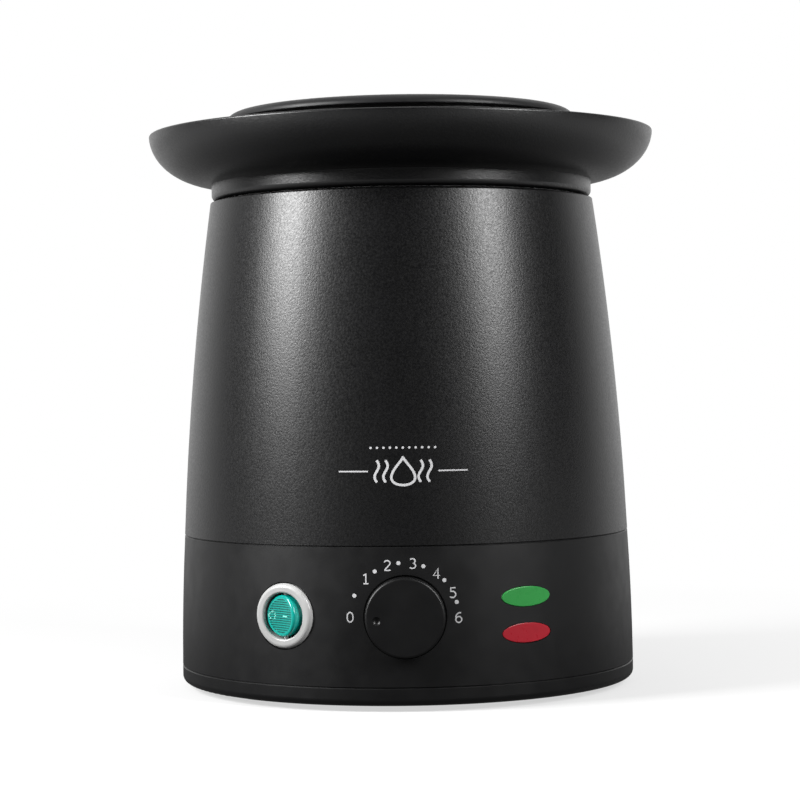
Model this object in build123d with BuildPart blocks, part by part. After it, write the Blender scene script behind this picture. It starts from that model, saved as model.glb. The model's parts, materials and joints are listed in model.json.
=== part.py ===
from build123d import *
import os
from math import acos, asin, cos, degrees, radians, sin, tan

os.makedirs("parts", exist_ok=True)

# Countertop wax warmer pot, in millimetres. The origin is on the resting surface, under the
# centre of the body. +Z is up, the control panel faces -Y, and +X is to the right of somebody
# who faces the panel.

# ---------------------------------------------------------------- driving dimensions
# Heights above the resting surface
FOOT_PROUD = 2.0      # rubber feet below the base plate
BASE_SEAM = 8.3       # base plate meets control ring
PANEL_SEAM = 56.4     # control ring meets casing
CASING_TOP = 179.35
NECK_BOTTOM = 180.05  # leaves a 0.7 mm shadow gap between casing and collar
RIM_TOP = 204.4       # brim of the collar
LID_TOP = 212.65

# Outside radii of the body, bottom to top
BASE_R = 84.1
PANEL_R = 83.65       # control ring, halfway up
PANEL_TOP_R = 82.6
CASING_MID_R = 78.6
SHOULDER_R = 71.3
NECK_R = 70.8
RIM_R = 93.7

SEAM = 0.35           # chamfer that makes each seam a fine V groove
PANEL_MID = 32.3      # height of the row of controls
SIDE_ANGLE = 30.0     # of the switch and the lamps, round the body from the knob

# The wax pot and what it hangs in
POT_R = 58.0
POT_WALL = 1.6
POT_BOTTOM = 109.7
POT_FLANGE = 200.0    # underside of the pot's flange
FLANGE_R = 64.0
SHEET = 1.6
WELL_R = 58.8
WELL_FLOOR = 109.2
WELL_WALL = 1.5

# Clearances
GAP = 0.3             # between pieces that move apart
RUN = 0.05            # radial, of a shaft or pin that turns in its hole


def wall_plane(azimuth, radius, height, turn=0.0):
    """Plane that faces outward on the body: x to the viewer's right, y up, z outward.

    Azimuth 0 is the front and grows to the right; turn swings the plane about its own y."""
    at = radians(azimuth)
    facing = radians(azimuth + turn)
    return Plane(
        origin=(radius * sin(at), -radius * cos(at), height),
        x_dir=(cos(facing), sin(facing), 0),
        z_dir=(sin(facing), -cos(facing), 0),
    )


def section_plane(plane):
    """Plane through another plane's z axis, for profiles that are turned about that axis."""
    return Plane(origin=plane.origin, x_dir=plane.x_dir, z_dir=plane.y_dir * -1)


def normal_axis(plane):
    """Axis along a plane's normal, through its origin."""
    return Axis(plane.origin, plane.z_dir)


def ring_point(radius, angle):
    """Point on a circle about the body's axis, at an angle in degrees from +X."""
    return radius * cos(radians(angle)), radius * sin(radians(angle))


def bend_radii(points, largest=12.0):
    """Radius for each corner of a wire's route, as large as the two runs beside it allow."""
    radii = []
    for before, corner, after in zip(points, points[1:], points[2:]):
        arriving = Vector(*corner) - Vector(*before)
        leaving = Vector(*after) - Vector(*corner)
        half_turn = radians(arriving.get_angle(leaving)) / 2
        room = 0.45 * min(arriving.length, leaving.length)
        radii.append(min(largest, room / tan(half_turn)))
    return radii


# ---------------------------------------------------------------- layout shared by pieces
FRONT = -90.0                              # direction of the panel, in degrees from +X
POST_ANGLES = [FRONT + a for a in (-155, -75, 75, 155)]
POST_PCR = 73.5
ROD_ANGLES = (60, 180, 300)
ROD_PCR = 48.0
ROD_R = 2.0
ROD_HOLE_R = 2.2
FOOT_PCR = 66.0
FOOT_R = 6.0
FOOT_SUNK = 1.0
SHIELD_Z = 88.0
SHIELD_T = 0.8
BOSS_BOTTOM = 100.0
WELL_BOTTOM = WELL_FLOOR - 2.0

switch_plane = wall_plane(-SIDE_ANGLE, PANEL_R, PANEL_MID)
lamp_plane = wall_plane(SIDE_ANGLE, PANEL_R, PANEL_MID - 0.6)
knob_plane = wall_plane(0, PANEL_R, PANEL_MID + 0.2)
inlet_plane = wall_plane(180, PANEL_R, PANEL_MID - 2.3)

BEZEL_R = 11.25
SLEEVE_R = 9.7
SWITCH_SEAT = -1.6     # bottom of the switch's round recess, from the panel's surface
KNOB_R = 13.7
KNOB_FLOOR = -2.45     # bottom of the knob's round recess, from the panel's surface
BUSH_R = 5.0
SHAFT_R = 3.0
LENS_HALF_W = 9.75
LENS_HALF_H = 3.5
LAMP_OFFSETS = {"green": 6.25, "red": -6.25}
LAMP_SCREW_X = 14.5
INLET_FLOOR = -4.4     # bottom of the inlet's recess
INLET_SCREW_X = 20.0
M3_R = 1.5


rod_points = [ring_point(ROD_PCR, angle) for angle in ROD_ANGLES]
post_points = [ring_point(POST_PCR, angle) for angle in POST_ANGLES]
foot_points = [ring_point(FOOT_PCR, angle) for angle in (45, 135, 225, 315)]
UPWARD = (Align.CENTER, Align.CENTER, Align.MIN)      # a solid stands on its place
DOWNWARD = (Align.CENTER, Align.CENTER, Align.MAX)    # a solid hangs from its place


# ---------------------------------------------------------------- base
BASE_T = 2.5
BASE_EDGE = 2.5
LIP_R = 81.1
LIP_TOP = 11.3
FLOOR_TOP = FOOT_PROUD + BASE_T
ROD_BOSS_TOP = 8.5
NUT_TOP = 6.0
SCREW_HOLE_R = 1.9
SCREW_LENGTH = 15.0

with BuildPart() as base_plate:
    with BuildSketch(Plane.XZ):
        with BuildLine():
            Polyline(
                (BASE_R - BASE_EDGE, FOOT_PROUD),
                (0, FOOT_PROUD),
                (0, FLOOR_TOP),
                (LIP_R - 2, FLOOR_TOP),
                (LIP_R - 2, LIP_TOP),
                (LIP_R, LIP_TOP),
                (LIP_R, BASE_SEAM),
                (BASE_R - SEAM, BASE_SEAM),
                (BASE_R, BASE_SEAM - SEAM),
                (BASE_R, FOOT_PROUD + BASE_EDGE),
            )
            RadiusArc((BASE_R - BASE_EDGE, FOOT_PROUD), (BASE_R, FOOT_PROUD + BASE_EDGE), -BASE_EDGE)
        make_face()
    revolve(axis=Axis.Z)
    # bosses for the tie rods, with a pocket below for each nut
    with Locations(*[(x, y, FOOT_PROUD) for x, y in rod_points]):
        Cylinder(7.5, ROD_BOSS_TOP - FOOT_PROUD, align=UPWARD)
        Cylinder(5.0, NUT_TOP - FOOT_PROUD, align=UPWARD, mode=Mode.SUBTRACT)
        Cylinder(ROD_HOLE_R, 30, mode=Mode.SUBTRACT)
    with Locations(*[(x, y, FOOT_PROUD) for x, y in foot_points]):
        Cylinder(FOOT_R + 0.1, FOOT_SUNK, align=UPWARD, mode=Mode.SUBTRACT)
    # twelve cooling slots
    with BuildSketch(Plane.XY.offset(FOOT_PROUD)):
        with PolarLocations(29, 12, start_angle=15):
            SlotOverall(16, 2.6)
    extrude(amount=BASE_T, mode=Mode.SUBTRACT)
    with Locations(*[(x, y, FOOT_PROUD) for x, y in post_points]):
        Cylinder(SCREW_HOLE_R, 20, mode=Mode.SUBTRACT)
        Cone(3.6, SCREW_HOLE_R, 1.8, align=UPWARD, mode=Mode.SUBTRACT)
base_plate.part.label = "base_plate"
export_step(base_plate.part, "parts/base_plate.step")

with BuildPart() as rubber_feet:
    with Locations(*[(x, y, 0) for x, y in foot_points]):
        Cone(FOOT_R - 0.6, FOOT_R, FOOT_PROUD + FOOT_SUNK, align=UPWARD)
rubber_feet.part.label = "rubber_feet"
export_step(rubber_feet.part, "parts/rubber_feet.step")

with BuildPart() as base_screws:
    with Locations(*[(x, y, FOOT_PROUD + 0.1) for x, y in post_points]):
        Cone(3.4, M3_R, 1.9, align=UPWARD)
        Cylinder(M3_R, SCREW_LENGTH, align=UPWARD)
        Box(3.4, 0.8, 1.6, mode=Mode.SUBTRACT)
        Box(0.8, 3.4, 1.6, mode=Mode.SUBTRACT)
base_screws.part.label = "base_screws"
export_step(base_screws.part, "parts/base_screws.step")

# ---------------------------------------------------------------- control ring
RING_INNER_LOW = 81.45
RING_INNER_TOP = 79.95
POST_TOP = 26.0
POST_BOTTOM = FLOOR_TOP + 0.1
POST_R = 3.8

with BuildPart() as control_ring:
    with BuildSketch(Plane.XZ):
        with BuildLine():
            ThreePointArc((BASE_R, BASE_SEAM + SEAM), (PANEL_R, PANEL_MID), (PANEL_TOP_R, PANEL_SEAM - SEAM))
            Polyline(
                (PANEL_TOP_R, PANEL_SEAM - SEAM),
                (PANEL_TOP_R - SEAM, PANEL_SEAM),
                (RING_INNER_TOP, PANEL_SEAM),
                (RING_INNER_LOW, BASE_SEAM),
                (BASE_R - SEAM, BASE_SEAM),
                (BASE_R, BASE_SEAM + SEAM),
            )
        make_face()
    revolve(axis=Axis.Z)

    # screw posts, each with a rib to the wall and a pilot hole
    for angle in POST_ANGLES:
        with Locations(Location((0, 0, 0), (0, 0, angle))):
            with Locations((POST_PCR, 0, POST_BOTTOM)):
                Cylinder(POST_R, POST_TOP - POST_BOTTOM, align=UPWARD)
            with Locations((POST_PCR, 0, LIP_TOP + 0.5)):
                Box(8.6, 2.0, POST_TOP - LIP_TOP - 0.5, align=(Align.MIN, Align.CENTER, Align.MIN))
            with Locations((POST_PCR, 0, FLOOR_TOP)):
                Cylinder(M3_R + RUN, SCREW_LENGTH - 1, align=UPWARD, mode=Mode.SUBTRACT)

    # flat pads behind the switch, the knob and the mains inlet
    with BuildSketch(switch_plane.offset(-5.0)):
        Circle(13.5)
    extrude(amount=5.0 + SWITCH_SEAT)
    with BuildSketch(knob_plane.offset(-5.2)):
        Circle(17)
    extrude(amount=3.0)
    with BuildSketch(inlet_plane.offset(-7.0)):
        Rectangle(50, 28)
    extrude(amount=3.0)
    with BuildSketch(lamp_plane.offset(-9.0)):
        with Locations((-LAMP_SCREW_X, 0), (LAMP_SCREW_X, 0)):
            Circle(2.6)
    extrude(amount=6.4)

    # round recess and hole for the switch
    with BuildSketch(switch_plane.offset(SWITCH_SEAT)):
        Circle(BEZEL_R + 0.45)
    extrude(amount=5, mode=Mode.SUBTRACT)
    with BuildSketch(switch_plane.offset(-8)):
        Circle(SLEEVE_R + 0.15)
    extrude(amount=12, mode=Mode.SUBTRACT)

    # round recess and bush hole for the knob
    with BuildSketch(knob_plane.offset(KNOB_FLOOR)):
        Circle(KNOB_R + 0.6)
    extrude(amount=6, mode=Mode.SUBTRACT)
    with BuildSketch(knob_plane.offset(-8)):
        Circle(BUSH_R + 0.1)
    extrude(amount=10, mode=Mode.SUBTRACT)

    # lens windows and their two screw holes
    with BuildSketch(lamp_plane.offset(-7)):
        for height in LAMP_OFFSETS.values():
            with Locations((0, height)):
                Ellipse(LENS_HALF_W + 0.12, LENS_HALF_H + 0.12)
    extrude(amount=10, mode=Mode.SUBTRACT)
    with BuildSketch(lamp_plane.offset(-9.5)):
        with Locations((-LAMP_SCREW_X, 0), (LAMP_SCREW_X, 0)):
            Circle(1.1 + RUN)
    extrude(amount=5.2, mode=Mode.SUBTRACT)

    # recess, opening and screw holes for the mains inlet
    with BuildSketch(inlet_plane.offset(INLET_FLOOR)):
        RectangleRounded(49.4, 24.2, 3)
    extrude(amount=8, mode=Mode.SUBTRACT)
    with BuildSketch(inlet_plane.offset(-9)):
        Rectangle(27.8, 20.2)
        with Locations((-INLET_SCREW_X, 0), (INLET_SCREW_X, 0)):
            Circle(M3_R + RUN)
    extrude(amount=8, mode=Mode.SUBTRACT)
control_ring.part.label = "control_ring"
export_step(control_ring.part, "parts/control_ring.step")

# ---------------------------------------------------------------- outer casing
CASING_WALL = 2.2
SPIGOT_R = 79.7
SPIGOT_BOTTOM = 52.4
CASING_BORE = 63.5
SHOULDER_ROUND = 0.4
CASING_MID_Z = 116.0

with BuildPart() as outer_casing:
    with BuildSketch(Plane.XZ):
        with BuildLine():
            ThreePointArc(
                (PANEL_TOP_R, PANEL_SEAM + SEAM),
                (CASING_MID_R, CASING_MID_Z),
                (SHOULDER_R, CASING_TOP - SHOULDER_ROUND),
            )
            RadiusArc(
                (SHOULDER_R, CASING_TOP - SHOULDER_ROUND),
                (SHOULDER_R - SHOULDER_ROUND, CASING_TOP),
                -SHOULDER_ROUND,
            )
            Polyline(
                (SHOULDER_R - SHOULDER_ROUND, CASING_TOP),
                (CASING_BORE, CASING_TOP),
                (CASING_BORE, CASING_TOP - 2.4),
                (SHOULDER_R - CASING_WALL, CASING_TOP - 2.4),
            )
            ThreePointArc(
                (SHOULDER_R - CASING_WALL, CASING_TOP - 2.4),
                (CASING_MID_R - CASING_WALL, CASING_MID_Z),
                (PANEL_TOP_R - CASING_WALL, PANEL_SEAM + 5),
            )
            Polyline(
                (PANEL_TOP_R - CASING_WALL, PANEL_SEAM + 5),
                (SPIGOT_R - 1.7, PANEL_SEAM + 3),
                (SPIGOT_R - 1.7, SPIGOT_BOTTOM),
                (SPIGOT_R, SPIGOT_BOTTOM),
                (SPIGOT_R, PANEL_SEAM),
                (PANEL_TOP_R - SEAM, PANEL_SEAM),
                (PANEL_TOP_R, PANEL_SEAM + SEAM),
            )
        make_face()
    revolve(axis=Axis.Z)
outer_casing.part.label = "outer_casing"
export_step(outer_casing.part, "parts/outer_casing.step")

with BuildPart() as top_gasket:
    with BuildSketch(Plane.XY.offset(CASING_TOP)):
        Circle(67.2)
        Circle(CASING_BORE, mode=Mode.SUBTRACT)
    extrude(amount=NECK_BOTTOM - CASING_TOP)
top_gasket.part.label = "top_gasket"
export_step(top_gasket.part, "parts/top_gasket.step")

# ---------------------------------------------------------------- heating well
WELL_OUT = WELL_R + WELL_WALL
WELL_TOP = NECK_BOTTOM + 1.5
EARTH_Y = 38.0

with BuildPart() as heating_well:
    with BuildSketch(Plane.XZ):
        with BuildLine():
            Polyline(
                (WELL_OUT - 3.3, WELL_BOTTOM),
                (0, WELL_BOTTOM),
                (0, WELL_FLOOR),
                (WELL_R - 2, WELL_FLOOR),
            )
            RadiusArc((WELL_R - 2, WELL_FLOOR), (WELL_R, WELL_FLOOR + 2), -2)
            Line((WELL_R, WELL_FLOOR + 2), (WELL_R, WELL_TOP - 1))
            RadiusArc((WELL_R, WELL_TOP - 1), (WELL_R + 1, WELL_TOP), 1)
            Polyline(
                (WELL_R + 1, WELL_TOP),
                (67.4, WELL_TOP),
                (67.4, NECK_BOTTOM),
                (WELL_OUT, NECK_BOTTOM),
                (WELL_OUT, WELL_BOTTOM + 3.3),
            )
            RadiusArc((WELL_OUT, WELL_BOTTOM + 3.3), (WELL_OUT - 3.3, WELL_BOTTOM), 3.3)
        make_face()
    revolve(axis=Axis.Z)
    with Locations(*[(x, y, BOSS_BOTTOM) for x, y in rod_points]):
        Cylinder(4.5, WELL_BOTTOM - BOSS_BOTTOM + 1, align=UPWARD)
    with Locations(*[(x, y, BOSS_BOTTOM) for x, y in rod_points]):
        Cylinder(ROD_R + RUN, 6.5, align=UPWARD, mode=Mode.SUBTRACT)
heating_well.part.label = "heating_well"
export_step(heating_well.part, "parts/heating_well.step")

BAND_LOW = 118.0
BAND_HIGH = 158.0
BAND_IN = WELL_OUT + 0.1
BAND_OUT = BAND_IN + 1.8
LEAD_ANGLES = (150, 166)
LEAD_R = BAND_IN + 2.6
lead_points = [(LEAD_R * cos(radians(a)), LEAD_R * sin(radians(a))) for a in LEAD_ANGLES]

with BuildPart() as band_heater:
    with BuildSketch(Plane.XY.offset(BAND_LOW)):
        Circle(BAND_OUT)
        Circle(BAND_IN, mode=Mode.SUBTRACT)
        with Locations((0, BAND_IN)):
            Rectangle(2.4, 12, mode=Mode.SUBTRACT)
        for x in (-2.0, 2.0):
            with Locations((x, BAND_OUT - 0.4)):
                Rectangle(1.4, 8.4, align=(Align.CENTER, Align.MIN))
    extrude(amount=BAND_HIGH - BAND_LOW)
    with Locations((0, BAND_OUT + 4.5, BAND_LOW + 8), (0, BAND_OUT + 4.5, BAND_HIGH - 8)):
        Cylinder(1.6, 8, rotation=(0, 90, 0))
band_heater.part.label = "band_heater"
export_step(band_heater.part, "parts/band_heater.step")

with BuildPart() as heater_terminals:
    with Locations(*[(x, y, BAND_LOW - 8) for x, y in lead_points]):
        Cylinder(2.4, 7.9, align=UPWARD)
heater_terminals.part.label = "heater_terminals"
export_step(heater_terminals.part, "parts/heater_terminals.step")

JACKET_IN = BAND_OUT + 0.2
JACKET_OUT = 68.8
JACKET_HEIGHT = 54.0
with BuildPart() as insulation_jacket:
    with BuildSketch(Plane.XY.offset(BAND_LOW)):
        Circle(JACKET_OUT)
        Circle(JACKET_IN, mode=Mode.SUBTRACT)
        with Locations((0, JACKET_IN)):
            Rectangle(10, 20, mode=Mode.SUBTRACT)
    extrude(amount=JACKET_HEIGHT)
insulation_jacket.part.label = "insulation_jacket"
export_step(insulation_jacket.part, "parts/insulation_jacket.step")

# ---------------------------------------------------------------- rods and heat shield
with BuildPart() as heat_shield:
    with BuildSketch(Plane.XY.offset(SHIELD_Z)):
        Circle(73)
        with Locations(*rod_points):
            Circle(ROD_HOLE_R, mode=Mode.SUBTRACT)
        # passages for the earth wire, a heater lead, the capillary and the fuse lead
        with Locations((0, EARTH_Y), lead_points[0], (50, -20), (20, 0)):
            Circle(7, mode=Mode.SUBTRACT)
    extrude(amount=SHIELD_T)
heat_shield.part.label = "heat_shield"
export_step(heat_shield.part, "parts/heat_shield.step")

with BuildPart() as rod_spacers:
    for bottom, top in ((ROD_BOSS_TOP, SHIELD_Z), (SHIELD_Z + SHIELD_T, BOSS_BOTTOM)):
        with BuildSketch(Plane.XY.offset(bottom)):
            with Locations(*rod_points):
                Circle(4.0)
                Circle(ROD_HOLE_R, mode=Mode.SUBTRACT)
        extrude(amount=top - bottom)
rod_spacers.part.label = "rod_spacers"
export_step(rod_spacers.part, "parts/rod_spacers.step")

with BuildPart() as tie_rods:
    with BuildSketch(Plane.XY.offset(2.6)):
        with Locations(*rod_points):
            Circle(ROD_R)
    extrude(amount=BOSS_BOTTOM + 6 - 2.6)
tie_rods.part.label = "tie_rods"
export_step(tie_rods.part, "parts/tie_rods.step")

with BuildPart() as tie_nuts:
    with BuildSketch(Plane.XY.offset(2.8)):
        with Locations(*rod_points):
            RegularPolygon(3.5, 6, major_radius=False)
            Circle(ROD_R + RUN, mode=Mode.SUBTRACT)
    extrude(amount=NUT_TOP - 2.8)
tie_nuts.part.label = "tie_nuts"
export_step(tie_nuts.part, "parts/tie_nuts.step")

# ---------------------------------------------------------------- thermostat and knob
with BuildPart() as thermostat_body:
    with BuildSketch(knob_plane.offset(-24)):
        RectangleRounded(34, 30, 3)
    extrude(amount=18.7)
    with BuildSketch(knob_plane.offset(-5.4)):
        Circle(BUSH_R)
    extrude(amount=4.6)
    with BuildSketch(knob_plane.offset(-30)):
        with Locations((-9, 4), (9, 4)):
            Rectangle(6.3, 0.8)
    extrude(amount=6.1)
    with BuildSketch(knob_plane.offset(-31)):
        Circle(SHAFT_R + RUN)
    extrude(amount=32, mode=Mode.SUBTRACT)
thermostat_body.part.label = "thermostat_body"
export_step(thermostat_body.part, "parts/thermostat_body.step")

with BuildPart() as thermostat_nut:
    with BuildSketch(knob_plane.offset(KNOB_FLOOR)):
        RegularPolygon(7, 6, major_radius=False)
        Circle(BUSH_R + RUN, mode=Mode.SUBTRACT)
    extrude(amount=1.7)
thermostat_nut.part.label = "thermostat_nut"
export_step(thermostat_nut.part, "parts/thermostat_nut.step")

KNOB_BACK = KNOB_FLOOR + 0.45
KNOB_FACE = 4.4
KNOB_SKIN = 2.0
KNOB_ROUND = 0.9
POINTER_X = -9.7
SHAFT_FRONT = 2.3

with BuildPart() as thermostat_shaft:
    with BuildSketch(knob_plane.offset(-22)):
        Circle(SHAFT_R)
    extrude(amount=22 + SHAFT_FRONT)
    with BuildSketch(knob_plane.offset(-0.5)):
        with Locations((0, SHAFT_R - 0.9)):
            Rectangle(8, 4, align=(Align.CENTER, Align.MIN))
    extrude(amount=4, mode=Mode.SUBTRACT)
thermostat_shaft.part.label = "thermostat_shaft"
export_step(thermostat_shaft.part, "parts/thermostat_shaft.step")

with BuildPart() as temperature_knob:
    with BuildSketch(section_plane(knob_plane)):
        with BuildLine():
            Polyline(
                (0, KNOB_FACE),
                (0, KNOB_FACE - KNOB_SKIN),
                (SHAFT_R + 0.02, KNOB_FACE - KNOB_SKIN),
                (SHAFT_R + 0.02, 0.4),
                (5.4, 0.4),
                (5.4, KNOB_FACE - KNOB_SKIN),
                (KNOB_R - KNOB_SKIN, KNOB_FACE - KNOB_SKIN),
                (KNOB_R - KNOB_SKIN, KNOB_BACK),
                (KNOB_R, KNOB_BACK),
                (KNOB_R, KNOB_FACE - KNOB_ROUND),
            )
            RadiusArc((KNOB_R, KNOB_FACE - KNOB_ROUND), (KNOB_R - KNOB_ROUND, KNOB_FACE), -KNOB_ROUND)
            Line((KNOB_R - KNOB_ROUND, KNOB_FACE), (0, KNOB_FACE))
        make_face()
    revolve(axis=normal_axis(knob_plane))
    # flat of the D-shaped hole
    with BuildSketch(knob_plane.offset(0.4)):
        with Locations((0, SHAFT_R - 0.85)):
            Rectangle(4.6, 1.2, align=(Align.CENTER, Align.MIN))
    extrude(amount=2.2)
    # pointer dimple
    with Locations(knob_plane.offset(KNOB_FACE + 1.0)):
        with Locations((POINTER_X, -0.8, 0)):
            Sphere(1.75, mode=Mode.SUBTRACT)
temperature_knob.part.label = "temperature_knob"
export_step(temperature_knob.part, "parts/temperature_knob.step")

# sensing bulb under the well, with its capillary down to the thermostat
BULB_Z = WELL_BOTTOM - 2.6
BULB_END = 30.0
capillary_points = [
    (BULB_END, 0, BULB_Z),
    (42, 0, BULB_Z),
    (50, -20, 98),
    (50, -20, 74),
    (30, -52, 64),
    (10, -66, 56),
    (10, -66, PANEL_MID + 0.2 + 15.1),
]
with BuildPart() as thermostat_bulb:
    with BuildSketch(Plane.YZ.offset(-BULB_END)):
        with Locations((0, BULB_Z)):
            Circle(2.5)
    extrude(amount=2 * BULB_END + 0.5)
    with BuildLine() as capillary:
        FilletPolyline(*capillary_points, radius=bend_radii(capillary_points))
    with BuildSketch(Plane(origin=capillary.line @ 0, z_dir=capillary.line % 0)):
        Circle(0.8)
    sweep()
thermostat_bulb.part.label = "thermostat_bulb"
export_step(thermostat_bulb.part, "parts/thermostat_bulb.step")

CLIP_X = -16.0
with BuildPart() as bulb_clip:
    with BuildSketch(Plane.YZ.offset(CLIP_X - 4)):
        with Locations((0, BULB_Z)):
            Circle(3.4)
            Circle(2.6, mode=Mode.SUBTRACT)
            Rectangle(8, 4, align=(Align.CENTER, Align.MIN), mode=Mode.SUBTRACT)
        for side in (-1, 1):
            with Locations((side * 2.6, BULB_Z)):
                Rectangle(0.8, 2.6, align=(Align.MIN if side > 0 else Align.MAX, Align.MIN))
            with Locations((side * 2.6, WELL_BOTTOM)):
                Rectangle(7.5, 0.8, align=(Align.MIN if side > 0 else Align.MAX, Align.MAX))
    extrude(amount=8)
    with Locations((CLIP_X, -7, WELL_BOTTOM), (CLIP_X, 7, WELL_BOTTOM)):
        Cylinder(1.6, 4, mode=Mode.SUBTRACT)
bulb_clip.part.label = "bulb_clip"
export_step(bulb_clip.part, "parts/bulb_clip.step")

FUSE_Y = -22.0
FUSE_Z = WELL_BOTTOM - 2.3
FUSE_LEAD = 14.0
with BuildPart() as thermal_fuse:
    with BuildSketch(Plane.YZ.offset(-6)):
        with Locations((FUSE_Y, FUSE_Z)):
            Circle(2.2)
    extrude(amount=12)
    with BuildSketch(Plane.YZ.offset(-FUSE_LEAD)):
        with Locations((FUSE_Y, FUSE_Z)):
            Circle(0.5)
    extrude(amount=2 * FUSE_LEAD)
thermal_fuse.part.label = "thermal_fuse"
export_step(thermal_fuse.part, "parts/thermal_fuse.step")

with BuildPart() as fuse_clip:
    with BuildSketch(Plane.YZ.offset(-3)):
        with Locations((FUSE_Y, FUSE_Z)):
            Circle(3.1)
            Circle(2.3, mode=Mode.SUBTRACT)
            Rectangle(8, 4, align=(Align.CENTER, Align.MIN), mode=Mode.SUBTRACT)
        for side in (-1, 1):
            with Locations((FUSE_Y + side * 2.3, FUSE_Z)):
                Rectangle(0.8, 2.3, align=(Align.MIN if side > 0 else Align.MAX, Align.MIN))
            with Locations((FUSE_Y + side * 2.3, WELL_BOTTOM)):
                Rectangle(7.0, 0.8, align=(Align.MIN if side > 0 else Align.MAX, Align.MAX))
    extrude(amount=6)
    with Locations((0, FUSE_Y - 6.5, WELL_BOTTOM), (0, FUSE_Y + 6.5, WELL_BOTTOM)):
        Cylinder(1.6, 4, mode=Mode.SUBTRACT)
fuse_clip.part.label = "fuse_clip"
export_step(fuse_clip.part, "parts/fuse_clip.step")

# ---------------------------------------------------------------- rocker switch
PIVOT_DEPTH = -1.6
ROCK = 16.0            # half of the rocker's travel, in degrees
ROCKER_R = 7.2
ROCKER_BACK = -2.5     # from the pivot
ROCKER_FACE = 2.4      # middle of the hollow face
HOLLOW_R = 30.0
PIVOT_R = 1.0
BEZEL_FACE = 1.1       # proud of the panel
MOUTH_R = 8.0
rocker_plane = wall_plane(-SIDE_ANGLE, PANEL_R + PIVOT_DEPTH, PANEL_MID, turn=-ROCK)
pivot_plane = wall_plane(-SIDE_ANGLE, PANEL_R + PIVOT_DEPTH, PANEL_MID)

with BuildPart() as switch_bezel:
    with BuildSketch(section_plane(switch_plane)):
        with BuildLine():
            Polyline(
                (MOUTH_R, BEZEL_FACE - 0.7),
                (MOUTH_R, -7.0),
                (SLEEVE_R, -7.0),
                (SLEEVE_R, SWITCH_SEAT),
                (BEZEL_R, SWITCH_SEAT),
                (BEZEL_R, BEZEL_FACE - 1.3),
            )
            ThreePointArc(
                (BEZEL_R, BEZEL_FACE - 1.3),
                (BEZEL_R - 0.5, BEZEL_FACE - 0.4),
                (BEZEL_R - 1.7, BEZEL_FACE),
            )
            Line((BEZEL_R - 1.7, BEZEL_FACE), (MOUTH_R + 0.7, BEZEL_FACE))
            RadiusArc((MOUTH_R + 0.7, BEZEL_FACE), (MOUTH_R, BEZEL_FACE - 0.7), -0.7)
        make_face()
    revolve(axis=normal_axis(switch_plane))
    with Locations(pivot_plane):
        Cylinder(PIVOT_R + RUN, 2 * SLEEVE_R - 0.6, rotation=(90, 0, 0), mode=Mode.SUBTRACT)
switch_bezel.part.label = "switch_bezel"
export_step(switch_bezel.part, "parts/switch_bezel.step")

with BuildPart() as switch_body:
    with BuildSketch(switch_plane.offset(-15)):
        Circle(SLEEVE_R)
    extrude(amount=8)
    with BuildSketch(switch_plane.offset(-12)):
        with Locations((-SLEEVE_R, 0), (SLEEVE_R, 0)):
            Rectangle(2.4, 5)
    extrude(amount=5)
    with BuildSketch(switch_plane.offset(-16)):
        with GridLocations(1, 5, 1, 3):
            Rectangle(5.0, 1.0)
    extrude(amount=4, mode=Mode.SUBTRACT)
switch_body.part.label = "switch_body"
export_step(switch_body.part, "parts/switch_body.step")

with BuildPart() as switch_terminals:
    with BuildSketch(switch_plane.offset(-22)):
        with GridLocations(1, 5, 1, 3):
            Rectangle(4.8, 0.8)
    extrude(amount=9.9)
    with Locations(switch_plane.offset(-19.5)):
        with GridLocations(1, 5, 1, 3):
            Cylinder(0.8, 3, rotation=(90, 0, 0), mode=Mode.SUBTRACT)
switch_terminals.part.label = "switch_terminals"
export_step(switch_terminals.part, "parts/switch_terminals.step")

RIB_PITCH = 0.8
RIB_COUNT = 15
with BuildPart() as rib_grooves:
    with BuildSketch(rocker_plane):
        Circle(ROCKER_R - 1.3)
    extrude(amount=6.0)
    with BuildPart(rocker_plane, mode=Mode.INTERSECT):
        with Locations((0, 0, ROCKER_FACE + HOLLOW_R)):
            with GridLocations(1, RIB_PITCH, 1, RIB_COUNT):
                Cylinder(HOLLOW_R + 0.35, 0.38, rotation=(90, 0, 0))

with BuildPart() as switch_rocker:
    with BuildSketch(rocker_plane.offset(ROCKER_BACK)):
        Circle(ROCKER_R)
    extrude(amount=8.0)
    with Locations(rocker_plane.offset(ROCKER_FACE + HOLLOW_R)):
        Cylinder(HOLLOW_R, 30, rotation=(90, 0, 0), mode=Mode.SUBTRACT)
    hollow = switch_rocker.faces().filter_by(GeomType.CYLINDER).sort_by(lambda face: face.radius)[-1]
    fillet(hollow.edges(), 0.8)
    add(rib_grooves.part, mode=Mode.SUBTRACT)
    with Locations(rocker_plane):
        Cylinder(PIVOT_R + 0.01, 20, rotation=(90, 0, 0), mode=Mode.SUBTRACT)
switch_rocker.part.label = "switch_rocker"
export_step(switch_rocker.part, "parts/switch_rocker.step")

with BuildPart() as rocker_pin:
    with Locations(pivot_plane):
        Cylinder(PIVOT_R, 2 * SLEEVE_R - 1.2, rotation=(90, 0, 0))
rocker_pin.part.label = "rocker_pin"
export_step(rocker_pin.part, "parts/rocker_pin.step")

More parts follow.
